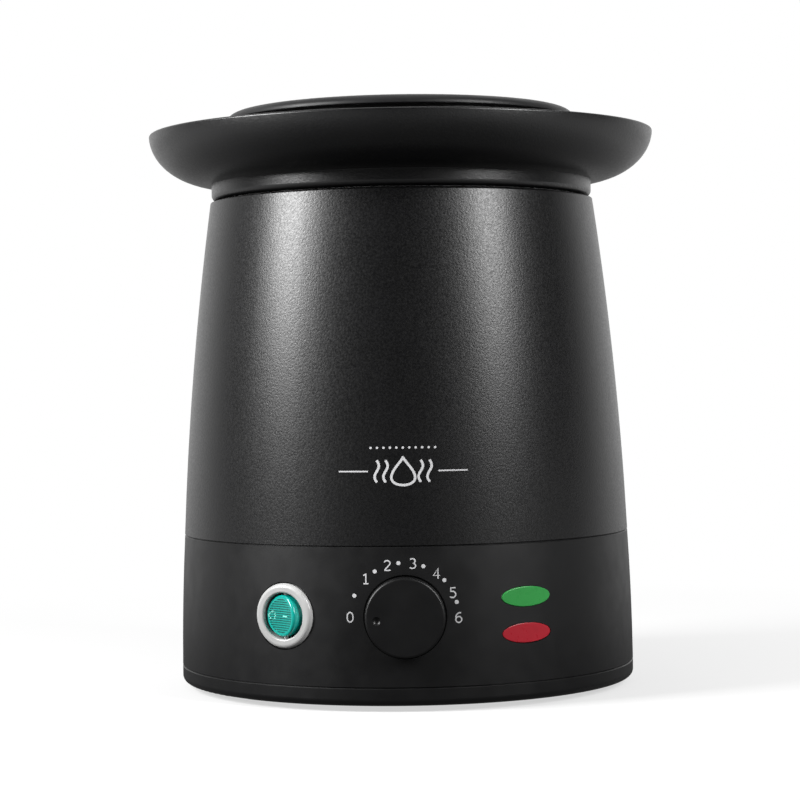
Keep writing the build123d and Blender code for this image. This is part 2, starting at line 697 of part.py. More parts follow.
# ---------------------------------------------------------------- signal lamps
for colour, height in LAMP_OFFSETS.items():
    with BuildPart() as lens:
        with BuildSketch(lamp_plane.offset(-5.4)):
            with Locations((0, height)):
                Ellipse(LENS_HALF_W, LENS_HALF_H)
        extrude(amount=7)
        with Locations((0, 0, PANEL_MID)):
            Cylinder(PANEL_R + 0.15, 60, mode=Mode.INTERSECT)
        with BuildSketch(lamp_plane.offset(-6.6)):
            with Locations((0, height)):
                Ellipse(LENS_HALF_W + 1.2, LENS_HALF_H + 1.2)
        extrude(amount=1.6)
        front = lens.faces().sort_by_distance(lamp_plane.offset(20).origin)[0]
        fillet(front.edges(), 0.3)
    lens.part.label = f"{colour}_lens"
    export_step(lens.part, f"parts/{colour}_lens.step")

with BuildPart() as lamp_bracket:
    with BuildSketch(lamp_plane.offset(-11.2)):
        RectangleRounded(36, 24, 2)
        for height in LAMP_OFFSETS.values():
            with Locations((0, height)):
                Circle(3.1, mode=Mode.SUBTRACT)
        with Locations((-LAMP_SCREW_X, 0), (LAMP_SCREW_X, 0)):
            Circle(1.3, mode=Mode.SUBTRACT)
    extrude(amount=2.0)
lamp_bracket.part.label = "lamp_bracket"
export_step(lamp_bracket.part, "parts/lamp_bracket.step")

with BuildPart() as neon_lamps:
    for height in LAMP_OFFSETS.values():
        with BuildSketch(lamp_plane.offset(-18)):
            with Locations((0, height)):
                Circle(3.0)
        extrude(amount=8)
        with Locations(lamp_plane.offset(-10)):
            with Locations((0, height, 0)):
                Sphere(3.0)
neon_lamps.part.label = "neon_lamps"
export_step(neon_lamps.part, "parts/neon_lamps.step")

with BuildPart() as lamp_screws:
    for x in (-LAMP_SCREW_X, LAMP_SCREW_X):
        with Locations(lamp_plane.offset(-12.8)):
            with Locations((x, 0, 0)):
                Cylinder(2.2, 1.5, align=UPWARD)
                Cylinder(1.1, 8, align=UPWARD)
                Box(3, 0.6, 1.4, mode=Mode.SUBTRACT)
lamp_screws.part.label = "lamp_screws"
export_step(lamp_screws.part, "parts/lamp_screws.step")

# ---------------------------------------------------------------- mains inlet
SOCKET_FRONT = INLET_FLOOR + 2.4
SOCKET_DEPTH = 16.8
PIN_X = 7.0

with BuildPart() as inlet_housing:
    with BuildSketch(inlet_plane.offset(INLET_FLOOR)):
        RectangleRounded(49, 23.8, 2.8)
        with Locations((-INLET_SCREW_X, 0), (INLET_SCREW_X, 0)):
            Circle(1.7, mode=Mode.SUBTRACT)
    extrude(amount=2.4)
    with BuildSketch(inlet_plane.offset(-22)):
        Rectangle(27.4, 19.8)
    extrude(amount=22 + INLET_FLOOR)
    with BuildSketch(inlet_plane.offset(SOCKET_FRONT - SOCKET_DEPTH)) as socket:
        Rectangle(24.4, 16.6)
        chamfer(socket.vertices().group_by(Axis.Z)[-1], 4)
    extrude(amount=SOCKET_DEPTH, mode=Mode.SUBTRACT)
    with BuildSketch(inlet_plane.offset(-23)):
        with Locations((-PIN_X, -2), (PIN_X, -2), (0, 2)):
            Rectangle(2.1, 4.1)
    extrude(amount=8, mode=Mode.SUBTRACT)
    with Locations(inlet_plane.offset(SOCKET_FRONT)):
        with Locations((-INLET_SCREW_X, 0, 0), (INLET_SCREW_X, 0, 0)):
            Cone(1.7, 3.1, 1.4, align=DOWNWARD, mode=Mode.SUBTRACT)
inlet_housing.part.label = "inlet_housing"
export_step(inlet_housing.part, "parts/inlet_housing.step")

with BuildPart() as inlet_pins:
    for x, y in ((-PIN_X, -2), (PIN_X, -2), (0, 2)):
        with BuildSketch(inlet_plane.offset(-22)):
            with Locations((x, y)):
                Rectangle(2.0, 4.0)
        extrude(amount=16.5)
        with BuildSketch(inlet_plane.offset(-29)):
            with Locations((x, y)):
                Rectangle(0.8, 4.0)
        extrude(amount=7.1)
inlet_pins.part.label = "inlet_pins"
export_step(inlet_pins.part, "parts/inlet_pins.step")

with BuildPart() as inlet_screws:
    for x in (-INLET_SCREW_X, INLET_SCREW_X):
        with Locations(inlet_plane.offset(SOCKET_FRONT - 0.1)):
            with Locations((x, 0, 0)):
                Cone(M3_R, 2.9, 1.3, align=DOWNWARD)
                Cylinder(M3_R, 8, align=DOWNWARD)
                Box(3.2, 0.7, 1.2, mode=Mode.SUBTRACT)
                Box(0.7, 3.2, 1.2, mode=Mode.SUBTRACT)
inlet_screws.part.label = "inlet_screws"
export_step(inlet_screws.part, "parts/inlet_screws.step")

# ---------------------------------------------------------------- terminal block and wires
BLOCK_Y = 6.0
BLOCK_TOP = 20.0
block_centres = [(x, BLOCK_Y) for x in (-11, 0, 11)]

with BuildPart() as terminal_block:
    with Locations((0, BLOCK_Y, FLOOR_TOP)):
        Box(36, 18, BLOCK_TOP - FLOOR_TOP, align=UPWARD)
    with Locations(*[(x, y, BLOCK_TOP) for x, y in block_centres]):
        Cylinder(2.8, 8, align=DOWNWARD, mode=Mode.SUBTRACT)
    with Locations(*[(x, y, 13) for x, y in block_centres]):
        Cylinder(1.6, 24, rotation=(90, 0, 0), mode=Mode.SUBTRACT)
terminal_block.part.label = "terminal_block"
export_step(terminal_block.part, "parts/terminal_block.step")

with BuildPart() as terminal_screws:
    for x, y in block_centres:
        with Locations((x, y, BLOCK_TOP - 6)):
            Cylinder(2.6, 3.5, align=UPWARD)
            with Locations((0, 0, 3.5)):
                Box(6, 0.8, 1.6, mode=Mode.SUBTRACT)
terminal_screws.part.label = "terminal_screws"
export_step(terminal_screws.part, "parts/terminal_screws.step")

with BuildPart() as earth_lug:
    with Locations((0, EARTH_Y, WELL_BOTTOM)):
        Cylinder(4.2, 1.0, align=DOWNWARD)
    with Locations((0, EARTH_Y, WELL_BOTTOM - 1)):
        Cylinder(2.6, 2.4, align=DOWNWARD)
    with Locations((0, EARTH_Y + 7.5, WELL_BOTTOM - 0.1)):
        Box(3.2, 8, 0.8, align=DOWNWARD)
    with Locations((0, EARTH_Y + 10.5, WELL_BOTTOM - 0.1)):
        Cylinder(1.9, 7, align=DOWNWARD)
earth_lug.part.label = "earth_lug"
export_step(earth_lug.part, "parts/earth_lug.step")

WIRE_R = 1.1
TAB_Y = PANEL_R - 29.2
switch_tab = switch_plane.offset(-22.3)
top_tab = switch_tab.from_local_coords(Vector(0, 5, 0))
mid_tab = switch_tab.from_local_coords(Vector(0, 0, 0))
STAT_X = 9.0
STAT_Y = -PANEL_R + 30.3
STAT_Z = 36.5

brown_routes = [
    # inlet to switch
    [
        (-PIN_X, TAB_Y, 28), (-PIN_X, 44, 28), (-30, 40, 22), (-60, 16, 20), (-58, -18, 22),
        (-36, -38, 30), (top_tab.X + 4, top_tab.Y + 6.9, top_tab.Z), tuple(top_tab),
    ],
    # switch to thermostat
    [
        tuple(mid_tab), (mid_tab.X + 4, mid_tab.Y + 6.9, mid_tab.Z), (-12, -40, 33),
        (-STAT_X, -44, STAT_Z), (-STAT_X, STAT_Y, STAT_Z),
    ],
    # thermostat up to the thermal fuse
    [
        (STAT_X, STAT_Y, STAT_Z), (STAT_X, -40, 40), (18, -20, 60), (20, 0, 76), (20, -4, 94),
        (20, FUSE_Y, FUSE_Z), (FUSE_LEAD + 0.3, FUSE_Y, FUSE_Z),
    ],
    # thermal fuse to the heater, above the shield
    [
        (-FUSE_LEAD - 0.3, FUSE_Y, FUSE_Z), (-21, FUSE_Y, FUSE_Z), (-28, FUSE_Y, 97), (-52, -16, 97),
        (lead_points[1][0], 2, 97), (*lead_points[1], 103), (*lead_points[1], BAND_LOW - 8.1),
    ],
]
blue_routes = [
    # inlet to terminal block
    [(PIN_X, TAB_Y, 28), (PIN_X, 42, 26), (11, 30, 14), (11, BLOCK_Y + 9.1, 13)],
    # terminal block up to the heater
    [
        (-11, BLOCK_Y + 9.1, 13), (-11, 24, 14), (-24, 24, 30), (-50, 26, 52), (*lead_points[0], 82),
        (*lead_points[0], BAND_LOW - 8.1),
    ],
]
earth_route = [
    (0, TAB_Y, 34.0), (0, 46, 34.0), (0, EARTH_Y + 2, 46), (0, EARTH_Y + 2, 90),
    (0, EARTH_Y + 10.5, 96), (0, EARTH_Y + 10.5, WELL_BOTTOM - 7.2),
]

wire_routes = {"brown_wires": brown_routes, "blue_wires": blue_routes, "earth_wire": [earth_route]}
for name, routes in wire_routes.items():
    with BuildPart() as wires:
        for points in routes:
            with BuildLine() as route:
                FilletPolyline(*points, radius=bend_radii(points))
            with BuildSketch(Plane(origin=route.line @ 0, z_dir=route.line % 0)):
                Circle(WIRE_R)
            sweep()
    wires.part.label = name
    export_step(wires.part, f"parts/{name}.step")

# ---------------------------------------------------------------- drip collar
BRIM_CENTRE_R = 69.7
BRIM_A = RIM_R - BRIM_CENTRE_R   # half axes of the brim's elliptical underside
BRIM_B = 18.3
BRIM_WALL = 2.2
EDGE_ROUND = 0.7
EDGE_Z = RIM_TOP - EDGE_ROUND
BORE_R = 59.0
INNER_LIP_R = 61.2
INNER_LIP_TOP = POT_FLANGE - GAP
TRAY_FLOOR = RIM_TOP - (BRIM_B - BRIM_WALL)


def brim_point(height, shrink=0.0):
    """Point of the brim's ellipse, or of one smaller by shrink, at a height near the rim."""
    lift = asin((RIM_TOP - height) / (BRIM_B - shrink))
    return BRIM_CENTRE_R + (BRIM_A - shrink) * cos(lift), height


outer_start = -degrees(acos((NECK_R - BRIM_CENTRE_R) / BRIM_A))
outer_end = -degrees(asin((RIM_TOP - EDGE_Z) / BRIM_B))
inner_end = -degrees(asin((RIM_TOP - EDGE_Z) / (BRIM_B - BRIM_WALL)))

with BuildPart() as drip_collar:
    with BuildSketch(Plane.XZ) as section:
        with BuildLine():
            under = EllipticalCenterArc(
                (BRIM_CENTRE_R, RIM_TOP), BRIM_A, BRIM_B, start_angle=outer_start,
                arc_size=outer_end - outer_start,
            )
            tray = EllipticalCenterArc(
                (BRIM_CENTRE_R, RIM_TOP), BRIM_A - BRIM_WALL, BRIM_B - BRIM_WALL, start_angle=-90,
                arc_size=inner_end + 90,
            )
            outer_edge_r = brim_point(EDGE_Z)[0] - EDGE_ROUND
            inner_edge_r = brim_point(EDGE_Z, BRIM_WALL)[0] + EDGE_ROUND
            RadiusArc(under @ 1, (outer_edge_r, RIM_TOP), -EDGE_ROUND)
            Line((outer_edge_r, RIM_TOP), (inner_edge_r, RIM_TOP))
            RadiusArc((inner_edge_r, RIM_TOP), tray @ 1, -EDGE_ROUND)
            Polyline(
                tray @ 0,
                (INNER_LIP_R, TRAY_FLOOR),
                (INNER_LIP_R, INNER_LIP_TOP - 0.5),
                (INNER_LIP_R - 0.5, INNER_LIP_TOP),
                (BORE_R + 0.5, INNER_LIP_TOP),
                (BORE_R, INNER_LIP_TOP - 0.5),
                (BORE_R, WELL_TOP + GAP),
                (INNER_LIP_R, WELL_TOP + GAP),
                (INNER_LIP_R, TRAY_FLOOR - BRIM_WALL),
                (68.2, TRAY_FLOOR - BRIM_WALL),
                (68.2, NECK_BOTTOM),
                (NECK_R, NECK_BOTTOM),
                under @ 0,
            )
        make_face()
        corner = section.vertices().sort_by_distance(section.workplanes[0].from_local_coords(under @ 0))[0]
        fillet(corner, 2.2)
    revolve(axis=Axis.Z)
drip_collar.part.label = "drip_collar"
export_step(drip_collar.part, "parts/drip_collar.step")

# ---------------------------------------------------------------- wax pot
EAR_IN = 66.2
EAR_TOP = 207.5
PIVOT_Z = 203.5
BAIL_WIRE_R = 1.75
POT_FLOOR = POT_BOTTOM + SHEET
FLANGE_TOP = POT_FLANGE + SHEET

with BuildPart() as inner_pot:
    with BuildSketch(Plane.XZ):
        with BuildLine():
            Polyline((POT_R - 5, POT_BOTTOM), (0, POT_BOTTOM), (0, POT_FLOOR), (POT_R - 5, POT_FLOOR))
            RadiusArc((POT_R - 5, POT_FLOOR), (POT_R - POT_WALL, POT_FLOOR + 3.4), -3.4)
            Line((POT_R - POT_WALL, POT_FLOOR + 3.4), (POT_R - POT_WALL, FLANGE_TOP - 1.2))
            RadiusArc((POT_R - POT_WALL, FLANGE_TOP - 1.2), (POT_R - POT_WALL + 1.2, FLANGE_TOP), 1.2)
            Polyline(
                (POT_R - POT_WALL + 1.2, FLANGE_TOP),
                (FLANGE_R, FLANGE_TOP),
                (FLANGE_R, POT_FLANGE),
                (POT_R, POT_FLANGE),
                (POT_R, POT_BOTTOM + 5),
            )
            RadiusArc((POT_R, POT_BOTTOM + 5), (POT_R - 5, POT_BOTTOM), 5)
        make_face()
    revolve(axis=Axis.Z)
    # two pressed ears that carry the bail handle
    for side in (-1, 1):
        with BuildSketch(Plane.XY.offset(POT_FLANGE)):
            with Locations((side * (FLANGE_R + EAR_IN + SHEET) / 2 - side * 1.5, 0)):
                Rectangle(EAR_IN + SHEET - FLANGE_R + 3, 12)
        extrude(amount=SHEET)
        with BuildSketch(Plane.YZ.offset(side * EAR_IN)):
            with Locations((0, POT_FLANGE)):
                Rectangle(12, PIVOT_Z - POT_FLANGE, align=(Align.CENTER, Align.MIN))
            with Locations((0, PIVOT_Z)):
                Ellipse(6, EAR_TOP - PIVOT_Z)
            with Locations((0, PIVOT_Z)):
                Circle(BAIL_WIRE_R + RUN, mode=Mode.SUBTRACT)
        extrude(amount=side * SHEET)
inner_pot.part.label = "inner_pot"
export_step(inner_pot.part, "parts/inner_pot.step")

# ---------------------------------------------------------------- bail handle
BAIL_R = 73.0
BAIL_DROOP = 8.6       # the handle lies in the tray, this many degrees below level
GRIP_R = 3.5
GRIP_HALF_ANGLE = 15.0
droop = radians(BAIL_DROOP)
bail_plane = Plane(origin=(0, 0, PIVOT_Z), x_dir=(1, 0, 0), z_dir=(0, -sin(droop), cos(droop)))

with BuildPart() as bail_handle:
    with BuildLine(bail_plane) as bail_path:
        Line((EAR_IN - 0.6, 0), (BAIL_R, 0))
        ThreePointArc((BAIL_R, 0), (0, -BAIL_R), (-BAIL_R, 0))
        Line((-BAIL_R, 0), (-EAR_IN + 0.6, 0))
        corners = bail_path.vertices().sort_by(Axis.X)
        fillet([corners[0], corners[-1]], 3)
    with BuildSketch(Plane(origin=bail_path.line @ 0, z_dir=bail_path.line % 0)):
        Circle(BAIL_WIRE_R)
    sweep()
bail_handle.part.label = "bail_handle"
export_step(bail_handle.part, "parts/bail_handle.step")

with BuildPart() as bail_grip:
    with BuildLine(bail_plane) as grip_path:
        CenterArc((0, 0), BAIL_R, -90 - GRIP_HALF_ANGLE, 2 * GRIP_HALF_ANGLE)
    with BuildSketch(Plane(origin=grip_path.line @ 0, z_dir=grip_path.line % 0)):
        Circle(GRIP_R)
        Circle(BAIL_WIRE_R + 0.02, mode=Mode.SUBTRACT)
    sweep()
bail_grip.part.label = "bail_grip"
export_step(bail_grip.part, "parts/bail_grip.step")

# ---------------------------------------------------------------- lid
LID_R = 64.7
LID_SHOULDER_R = 59.2  # where the flat top starts to fall to the edge
LID_EDGE = 209.2       # underside of the overhanging edge
LID_SKIRT_R = 61.7
LID_SKIN = 2.2
LID_BOTTOM = FLANGE_TOP + GAP
DISH_FLOOR = LID_TOP - 6.2
DISH_R = 31.0
DISH_FLOOR_R = 24.0
PLUG_R = 55.8
PLUG_BOTTOM = 197.5

with BuildPart() as lid:
    with BuildSketch(Plane.XZ):
        with BuildLine():
            Polyline(
                (LID_SKIRT_R, LID_BOTTOM),
                (LID_SKIRT_R, LID_EDGE),
                (LID_R - 0.2, LID_EDGE),
                (LID_R, LID_EDGE + 0.2),
                (LID_R, LID_EDGE + 0.4),
            )
            fall = EllipticalCenterArc(
                (LID_SHOULDER_R, LID_EDGE + 0.4), LID_R - LID_SHOULDER_R, LID_TOP - LID_EDGE - 0.4,
                start_angle=0, arc_size=90,
            )
            Line(fall @ 1, (DISH_R, LID_TOP))
            Spline(
                (DISH_R, LID_TOP),
                (DISH_FLOOR_R, DISH_FLOOR),
                tangents=((-1, 0), (-1, 0)),
            )
            Polyline(
                (DISH_FLOOR_R, DISH_FLOOR),
                (0, DISH_FLOOR),
                (0, DISH_FLOOR - LID_SKIN),
                (DISH_FLOOR_R + 0.6, DISH_FLOOR - LID_SKIN),
            )
            Spline(
                (DISH_FLOOR_R + 0.6, DISH_FLOOR - LID_SKIN),
                (DISH_R + 2, LID_TOP - LID_SKIN),
                tangents=((1, 0), (1, 0)),
            )
            Polyline(
                (DISH_R + 2, LID_TOP - LID_SKIN),
                (PLUG_R - 2, LID_TOP - LID_SKIN),
                (PLUG_R - 2, PLUG_BOTTOM),
                (PLUG_R, PLUG_BOTTOM),
                (PLUG_R, LID_TOP - LID_SKIN),
                (LID_SKIRT_R - LID_SKIN, LID_TOP - LID_SKIN),
                (LID_SKIRT_R - LID_SKIN, LID_BOTTOM),
                (LID_SKIRT_R, LID_BOTTOM),
            )
        make_face()
    revolve(axis=Axis.Z)
    with Locations((0, 0, DISH_FLOOR)):
        Cylinder(2.1, 10, mode=Mode.SUBTRACT)
lid.part.label = "lid"
export_step(lid.part, "parts/lid.step")

KNOB_TOP = 217.4
with BuildPart() as lid_knob:
    with BuildSketch(Plane.XZ):
        with BuildLine():
            Polyline((0, KNOB_TOP), (0, DISH_FLOOR), (8.5, DISH_FLOOR))
            Spline(
                (8.5, DISH_FLOOR),
                (6.5, DISH_FLOOR + 3.0),
                (11.0, DISH_FLOOR + 6.0),
                tangents=((-0.6, 1), (1, 0.5)),
            )
            RadiusArc((11.0, DISH_FLOOR + 6.0), (12.4, KNOB_TOP - 0.9), -3.4)
            Spline((12.4, KNOB_TOP - 0.9), (0, KNOB_TOP), tangents=((-1, 0.35), (-1, 0)))
        make_face()
    revolve(axis=Axis.Z)
    with Locations((0, 0, DISH_FLOOR)):
        Cylinder(2.0 + 0.02, 7, align=UPWARD, mode=Mode.SUBTRACT)
lid_knob.part.label = "lid_knob"
export_step(lid_knob.part, "parts/lid_knob.step")

with BuildPart() as lid_screw:
    with Locations((0, 0, DISH_FLOOR - LID_SKIN)):
        Cylinder(3.8, 2.2, align=DOWNWARD)
        Cylinder(2.0, 8.6, align=UPWARD)
    with Locations((0, 0, DISH_FLOOR - LID_SKIN - 2.2)):
        Box(4.4, 0.9, 1.8, mode=Mode.SUBTRACT)
        Box(0.9, 4.4, 1.8, mode=Mode.SUBTRACT)
lid_screw.part.label = "lid_screw"
export_step(lid_screw.part, "parts/lid_screw.step")
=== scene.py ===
import json
from math import atan2, cos, pi, radians, sin

import bmesh
import bpy
from mathutils import Matrix, Vector, noise
from mathutils.bvhtree import BVHTree


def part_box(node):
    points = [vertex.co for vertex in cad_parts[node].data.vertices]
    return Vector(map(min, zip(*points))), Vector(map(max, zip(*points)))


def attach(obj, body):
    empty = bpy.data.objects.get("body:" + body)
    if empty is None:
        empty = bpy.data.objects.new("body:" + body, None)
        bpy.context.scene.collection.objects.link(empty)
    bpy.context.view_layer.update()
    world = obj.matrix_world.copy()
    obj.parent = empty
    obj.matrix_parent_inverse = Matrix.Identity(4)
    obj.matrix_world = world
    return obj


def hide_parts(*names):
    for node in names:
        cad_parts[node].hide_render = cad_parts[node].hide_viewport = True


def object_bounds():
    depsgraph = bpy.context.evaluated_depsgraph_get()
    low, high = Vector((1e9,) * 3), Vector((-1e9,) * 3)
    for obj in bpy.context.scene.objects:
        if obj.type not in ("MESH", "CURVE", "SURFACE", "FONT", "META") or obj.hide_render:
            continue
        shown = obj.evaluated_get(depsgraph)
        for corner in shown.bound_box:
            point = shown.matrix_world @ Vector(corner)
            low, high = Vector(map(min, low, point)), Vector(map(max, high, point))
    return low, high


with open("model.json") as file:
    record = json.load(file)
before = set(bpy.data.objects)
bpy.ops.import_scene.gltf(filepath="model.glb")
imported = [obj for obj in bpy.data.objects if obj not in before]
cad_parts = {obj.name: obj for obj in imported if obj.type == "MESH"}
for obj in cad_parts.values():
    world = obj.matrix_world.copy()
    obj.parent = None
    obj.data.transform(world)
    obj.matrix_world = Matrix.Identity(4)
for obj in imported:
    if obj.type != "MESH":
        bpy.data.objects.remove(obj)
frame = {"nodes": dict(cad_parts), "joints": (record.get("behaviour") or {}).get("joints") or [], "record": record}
cad_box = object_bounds()

# Looks of a countertop wax warmer pot. Metres, in the CAD's frame: +Z up, the control panel
# faces -Y, and +X is to the right of somebody who faces the panel.

MM = 0.001
RIGHT, UP = Vector((1, 0, 0)), Vector((0, 0, 1))

nodes = frame["nodes"]
record = frame["record"]
slot_of_node = {s["node"]: s["material_slot"] for s in record["subparts"]}
colour_of_slot = {m["slot"]: m["base_color"][:3] for m in record["materials"]}
joints = {j["name"]: j for j in frame["joints"]}


# ---------------------------------------------------------------- node material helpers
class Surface:
    """A material around one Principled shader, read in object coordinates, which are metres."""

    def __init__(self, name, **constants):
        self.material = bpy.data.materials.new(name)
        self.material.use_nodes = True
        self.tree = self.material.node_tree
        self.shader = self.tree.nodes["Principled BSDF"]
        self.place = self.add("ShaderNodeTexCoord").outputs["Object"]
        for socket, value in constants.items():
            self.shader.inputs[socket.replace("_", " ")].default_value = value

    def add(self, kind, **settings):
        """A new node with these properties."""
        node = self.tree.nodes.new(kind)
        for name, value in settings.items():
            setattr(node, name, value)
        return node

    def join(self, source, socket):
        """Links an output to an input, or sets the input to a constant."""
        if isinstance(source, (int, float, tuple, list, Vector)):
            socket.default_value = source
        else:
            self.tree.links.new(source, socket)

    def math(self, operation, *values, clamp=False):
        """Result of a math node."""
        node = self.add("ShaderNodeMath", operation=operation, use_clamp=clamp)
        for value, socket in zip(values, node.inputs):
            self.join(value, socket)
        return node.outputs[0]

    def turned(self, around=0.02):
        """Coordinates (radius, a little of the angle, height): rings about the vertical axis."""
        split = self.add("ShaderNodeSeparateXYZ")
        self.join(self.place, split.inputs[0])
        x, y, z = split.outputs
        x_squared, y_squared = self.math("MULTIPLY", x, x), self.math("MULTIPLY", y, y)
        radius = self.math("SQRT", self.math("ADD", x_squared, y_squared))
        angle = self.math("MULTIPLY", self.math("ARCTAN2", y, x), around)
        rings = self.add("ShaderNodeCombineXYZ")
        for value, socket in zip((radius, angle, z), rings.inputs):
            self.join(value, socket)
        return rings.outputs[0]

    def noise(self, size, detail=2.0, roughness=0.5, place=None):
        """Noise from 0 to 1 with features about this size in metres."""
        node = self.add("ShaderNodeTexNoise")
        node.inputs["Scale"].default_value = 1 / size
        node.inputs["Detail"].default_value = detail
        node.inputs["Roughness"].default_value = roughness
        self.join(place or self.place, node.inputs["Vector"])
        return node.outputs["Fac"]

    def spread(self, value, low, high, start=0.3, end=0.7):
        """A 0 to 1 value mapped to the range low to high."""
        node = self.add("ShaderNodeMapRange", clamp=True)
        for part, socket in zip((value, start, end, low, high), node.inputs):
            self.join(part, socket)
        return node.outputs[0]

    def tint(self, value, dark, light, start=0.3, end=0.7):
        """Base colour from one colour to another as value grows."""
        ramp = self.add("ShaderNodeValToRGB")
        ramp.color_ramp.elements[0].position = start
        ramp.color_ramp.elements[1].position = end
        ramp.color_ramp.elements[0].color = (*dark, 1)
        ramp.color_ramp.elements[1].color = (*light, 1)
        self.join(value, ramp.inputs["Fac"])
        self.join(ramp.outputs["Color"], self.shader.inputs["Base Color"])

    def gloss(self, value, low, high, start=0.3, end=0.7):
        """Roughness between low and high as value grows."""
        self.join(self.spread(value, low, high, start, end), self.shader.inputs["Roughness"])

    def relief(self, *layers):
        """Bump from (height, depth in metres) pairs, each laid over the one before."""
        normal = None
        for height, depth in layers:
            node = self.add("ShaderNodeBump")
            node.inputs["Strength"].default_value = 1.0
            node.inputs["Distance"].default_value = depth
            self.join(height, node.inputs["Height"])
            if normal is not None:
                self.join(normal, node.inputs["Normal"])
            normal = node.outputs["Normal"]
        self.join(normal, self.shader.inputs["Normal"])

    def crevices(self, reach, value):
        """Painted shade: a 0 to 1 value from ambient occlusion that falls towards 0 in grooves about this deep in
        metres, times a faint random tone.
        """
        open_sky = self.add("ShaderNodeAmbientOcclusion", samples=12)
        open_sky.inputs["Distance"].default_value = reach
        return self.math("MULTIPLY", open_sky.outputs["AO"], self.spread(value, 0.85, 1.0))


def scaled(colour, factor):
    """A colour made darker or lighter."""
    return tuple(channel * factor for channel in colour)


# ---------------------------------------------------------------- materials, one for each slot
def textured_black(colour):
    """Casing and collar: satin black over a fine leathery moulded grain."""
    m = Surface("textured_black", Specular_IOR_Level=0.5)
    grain = m.noise(0.7 * MM, detail=2.0, roughness=0.5)
    m.tint(m.noise(14 * MM), scaled(colour, 0.08), scaled(colour, 0.12))
    m.gloss(grain, 0.28, 0.4)
    m.relief((m.noise(22 * MM), 0.00001), (grain, 0.00005))
    return m


def satin_black(colour):
    """Base, control ring and knob: smoother satin black with a faint spark-eroded grain."""
    m = Surface("satin_black", Specular_IOR_Level=0.4)
    grain = m.noise(0.4 * MM, detail=2.0)
    m.tint(m.noise(11 * MM), scaled(colour, 0.08), scaled(colour, 0.11))
    m.gloss(m.noise(7 * MM, detail=4), 0.38, 0.46)
    m.relief((m.noise(26 * MM), 0.00003), (grain, 0.000009))
    return m


def lid_black(colour):
    """Lid and its knob: matte charcoal."""
    m = Surface("lid_black", Specular_IOR_Level=0.3)
    grain = m.noise(0.5 * MM, detail=3.0)
    m.tint(m.noise(12 * MM), scaled(colour, 0.16), scaled(colour, 0.22))
    m.gloss(m.noise(8 * MM, detail=3), 0.42, 0.5)
    m.relief((grain, 0.00002))
    return m


def white_plastic(colour):
    """Glossy white switch bezel and white thermal fuse."""
    m = Surface("white_plastic", Coat_Weight=0.3, Coat_Roughness=0.12)
    m.tint(m.noise(4 * MM), scaled(colour, 0.52), scaled(colour, 0.56))
    m.gloss(m.noise(3 * MM, detail=3), 0.3, 0.38)
    m.relief((m.noise(0.9 * MM), 0.000004))
    return m


def teal_plastic(colour):
    """Translucent teal rocker."""
    m = Surface(
        "teal_plastic",
        Subsurface_Weight=0.12,
        Subsurface_Radius=(0.0002, 0.0007, 0.0006),
        Subsurface_Scale=1.0,
        Coat_Weight=0.5,
        Coat_Roughness=0.1,
    )
    # Painted shade: ambient occlusion darkens the teal in the rib grooves and other tight corners of the rocker.
    m.tint(m.crevices(0.7 * MM, m.noise(3 * MM)), scaled(colour, 0.16), scaled(colour, 0.66), 0.35, 0.85)
    m.gloss(m.noise(1.5 * MM), 0.16, 0.26)
    m.relief((m.noise(0.8 * MM), 0.000006))
    return m


LENS_DEPTH = 1.25  # above 1 the colour is purer and darker


def lens(name, colour):
    """Coloured signal lens, deep in hue, with painted shade that darkens it where it sinks into the panel."""
    deep = tuple(channel ** LENS_DEPTH for channel in colour)
    m = Surface(name, Specular_IOR_Level=0.4)
    # Painted shade: ambient occlusion darkens the lens colour towards its edge in the panel's recess.
    m.tint(m.crevices(0.6 * MM, m.noise(3.5 * MM)), scaled(deep, 0.3), scaled(deep, 1.12), 0.35, 0.9)
    m.gloss(m.noise(2 * MM), 0.26, 0.36)
    m.relief((m.noise(0.7 * MM), 0.000006))
    return m


def green_lens(colour):
    return lens("green_lens", colour)


def red_lens(colour):
    return lens("red_lens", colour)


def aluminium(colour):
    """Spun aluminium: fine turned rings and a soft unevenness."""
    m = Surface("aluminium", Metallic=1.0)
    rings = m.noise(0.35 * MM, detail=3, roughness=0.6, place=m.turned(0.004))
    m.tint(m.noise(18 * MM, detail=3), scaled(colour, 0.86), colour)
    m.gloss(rings, 0.22, 0.38)
    m.relief((rings, 0.000008), (m.noise(5 * MM), 0.00002))
    return m


def steel(colour):
    """Zinc-plated steel with the plating's soft bloom."""
    m = Surface("steel", Metallic=1.0)
    bloom = m.noise(2.2 * MM, detail=4, roughness=0.6)
    m.tint(bloom, scaled(colour, 0.8), colour)
    m.gloss(m.noise(1.2 * MM, detail=3), 0.24, 0.42)
    m.relief((m.noise(0.3 * MM, detail=3), 0.000006))
    return m


def stainless_wire(colour):
    """Polished wire with faint drawing lines along the hoop."""
    m = Surface("stainless_wire", Metallic=1.0)
    lines = m.noise(0.25 * MM, detail=2, place=m.turned(0.002))
    m.tint(m.noise(6 * MM), scaled(colour, 0.9), colour)
    m.gloss(lines, 0.12, 0.24)
    m.relief((lines, 0.000004))
    return m


def brass(colour):
    """Stamped brass, slightly tarnished."""
    m = Surface("brass", Metallic=1.0)
    m.tint(m.noise(1.6 * MM, detail=4), scaled(colour, 0.72), colour)
    m.gloss(m.noise(0.9 * MM, detail=3), 0.22, 0.4)
    m.relief((m.noise(0.25 * MM), 0.000005))
    return m


def copper(colour):
    """Drawn copper bulb and capillary."""
    m = Surface("copper", Metallic=1.0)
    m.tint(m.noise(2.5 * MM, detail=4), scaled(colour, 0.65), colour)
    m.gloss(m.noise(1.0 * MM, detail=3), 0.2, 0.38)
    m.relief((m.noise(0.3 * MM), 0.000005))
    return m


